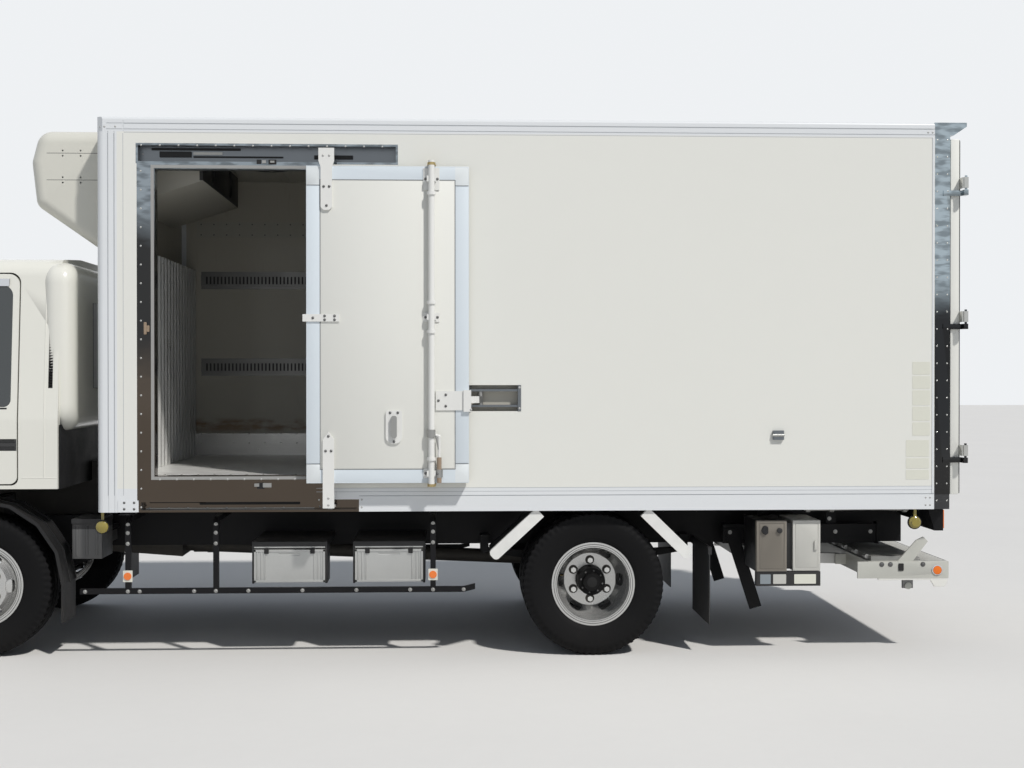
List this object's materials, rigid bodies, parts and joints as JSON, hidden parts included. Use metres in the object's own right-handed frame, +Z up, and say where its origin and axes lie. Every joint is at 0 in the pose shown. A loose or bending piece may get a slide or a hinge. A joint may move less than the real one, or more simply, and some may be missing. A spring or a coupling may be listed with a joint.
{
  "type": "refrigerated truck",
  "caption": "Cab-over refrigerated box truck with a side sliding door, rear hinged doors, a roof-front cooling unit and a slide-away tail lift.",
  "frame": {"origin": "on the ground, in the middle of the length and the width", "axes": "+X forward, +Y to the truck's left, where the sliding door is, +Z up"},
  "size_m": [6.64, 2.58, 2.997],
  "materials": {
    "white_panel": "semi-gloss white body panel",
    "cab_paint": "gloss white paint",
    "stainless": "polished stainless",
    "black_frame": "satin black frame paint",
    "aluminium": "ribbed aluminium",
    "white_plastic": "matt white moulding",
    "black_plastic": "matt black moulding",
    "glass": "tinted safety glass",
    "lamp_lens": "clear and coloured lenses",
    "tyre": "road tyre",
    "wheel_silver": "silver wheel paint",
    "iron": "bare castings and forgings",
    "tank": "grey tank paint",
    "lift_white": "off-white lift paint",
    "lift_steel": "zinc coated steel",
    "bumper_paint": "white bumper"
  },
  "bodies": {
    "truck": {"box_floor": "aluminium", "box_roof": "white_panel", "box_subframe": "black_frame", "box_wall_front": "white_panel", "box_wall_left": "white_panel", "box_wall_right": "white_panel", "bulkhead_lining": "aluminium", "bumper": "bumper_paint", "chassis_frame": "black_frame", "cooling_unit": "white_plastic", "door_surround": "stainless", "edge_rails": "white_panel", "engine_block": "iron", "evaporator": "white_plastic", "exhaust": "iron", "front_axle_beam": "black_frame", "front_mudguards": "black_plastic", "fuel_tank": "tank", "lashing_rails": "aluminium", "leaf_springs": "black_frame", "lift_cabinet": "lift_white", "lift_rails": "lift_steel", "marker_lamps": "lamp_lens", "rear_axle": "black_frame", "rear_lamp_bar": "lamp_lens", "rear_mudguards": "black_plastic", "rear_portal": "stainless", "side_boxes": "aluminium", "side_guards": "black_frame", "sliding_door": "white_panel", "sliding_door_fittings": "stainless"},
    "cab": {"cab_shell": "cab_paint", "cab_glass": "glass", "front_grille": "black_plastic", "headlamps": "lamp_lens", "cab_interior": "black_plastic", "seats": "black_plastic", "mirrors": "black_plastic"},
    "cab_door_left": {"cab_door_left": "cab_paint", "cab_door_glass_left": "glass"},
    "cab_door_right": {"cab_door_right": "cab_paint", "cab_door_glass_right": "glass"},
    "rear_door_left": {"rear_door_left": "white_panel", "rear_door_fittings_left": "stainless"},
    "rear_door_right": {"rear_door_right": "white_panel", "rear_door_fittings_right": "stainless"},
    "knuckle_left": {"knuckle_left": "black_frame"},
    "knuckle_right": {"knuckle_right": "black_frame"},
    "tie_rod": {"tie_rod": "black_frame"},
    "front_wheel_left": {"front_tyre_left": "tyre", "front_wheel_left": "wheel_silver"},
    "front_wheel_right": {"front_tyre_right": "tyre", "front_wheel_right": "wheel_silver"},
    "rear_wheels_left": {"rear_tyres_left": "tyre", "rear_wheels_left": "wheel_silver"},
    "rear_wheels_right": {"rear_tyres_right": "tyre", "rear_wheels_right": "wheel_silver"},
    "lift_carriage": {"lift_carriage": "lift_steel"},
    "lift_arms": {"lift_arms": "lift_steel"},
    "lift_platform": {"lift_platform": "lift_white"}
  },
  "joints": [
    {"name": "cab_tilt", "type": "hinge", "parent": "truck", "child": "cab", "pos_m": [3.21, 0, 0.64], "axis": [0, 1, 0], "range_deg": [0, 45]},
    {"name": "cab_door_left_hinge", "type": "hinge", "parent": "cab", "child": "cab_door_left", "pos_m": [3.01, 0.996, 1.2], "axis": [0, 0, -1], "range_deg": [0, 70]},
    {"name": "cab_door_right_hinge", "type": "hinge", "parent": "cab", "child": "cab_door_right", "pos_m": [3.01, -0.996, 1.2], "axis": [0, 0, 1], "range_deg": [0, 70]},
    {"name": "rear_door_left_hinge", "type": "hinge", "parent": "truck", "child": "rear_door_left", "pos_m": [-3.3, 1.145, 1.9], "axis": [0, 0, -1], "range_deg": [0, 270]},
    {"name": "rear_door_right_hinge", "type": "hinge", "parent": "truck", "child": "rear_door_right", "pos_m": [-3.3, -1.145, 1.9], "axis": [0, 0, 1], "range_deg": [0, 270]},
    {"name": "steer_left", "type": "hinge", "parent": "truck", "child": "knuckle_left", "pos_m": [2.21, 0.745, 0.4], "axis": [0, 0, 1], "range_deg": [-38, 38]},
    {"name": "steer_right", "type": "hinge", "parent": "truck", "child": "knuckle_right", "pos_m": [2.21, -0.745, 0.4], "axis": [0, 0, 1], "range_deg": [-38, 38]},
    {"name": "tie_rod_end", "type": "hinge", "parent": "knuckle_left", "child": "tie_rod", "pos_m": [2.075, 0.745, 0.29], "axis": [0, 0, 1], "range_deg": [-38, 38]},
    {"name": "front_left_spin", "type": "hinge", "parent": "knuckle_left", "child": "front_wheel_left", "pos_m": [2.21, 0.835, 0.4], "axis": [0, 1, 0], "continuous": true},
    {"name": "front_right_spin", "type": "hinge", "parent": "knuckle_right", "child": "front_wheel_right", "pos_m": [2.21, -0.835, 0.4], "axis": [0, 1, 0], "continuous": true},
    {"name": "rear_left_spin", "type": "hinge", "parent": "truck", "child": "rear_wheels_left", "pos_m": [-1.22, 0.8, 0.4], "axis": [0, 1, 0], "continuous": true},
    {"name": "rear_right_spin", "type": "hinge", "parent": "truck", "child": "rear_wheels_right", "pos_m": [-1.22, -0.8, 0.4], "axis": [0, 1, 0], "continuous": true},
    {"name": "lift_slide", "type": "slide", "parent": "truck", "child": "lift_carriage", "axis": [-1, 0, 0], "range_m": [0, 0.45]},
    {"name": "lift_lower", "type": "hinge", "parent": "lift_carriage", "child": "lift_arms", "pos_m": [-2.29, 0.44, 0.48], "axis": [0, -1, 0], "range_deg": [0, 45]},
    {"name": "platform_level", "type": "hinge", "parent": "lift_arms", "child": "lift_platform", "pos_m": [-2.765, 0.44, 0.466], "axis": [0, -1, 0], "range_deg": [-45, 0]}
  ],
  "couplings": [
    {"joint": "steer_right", "follows": "steer_left", "ratio": 1},
    {"joint": "tie_rod_end", "follows": "steer_left", "ratio": -1},
    {"joint": "platform_level", "follows": "lift_lower", "ratio": -1}
  ]
}
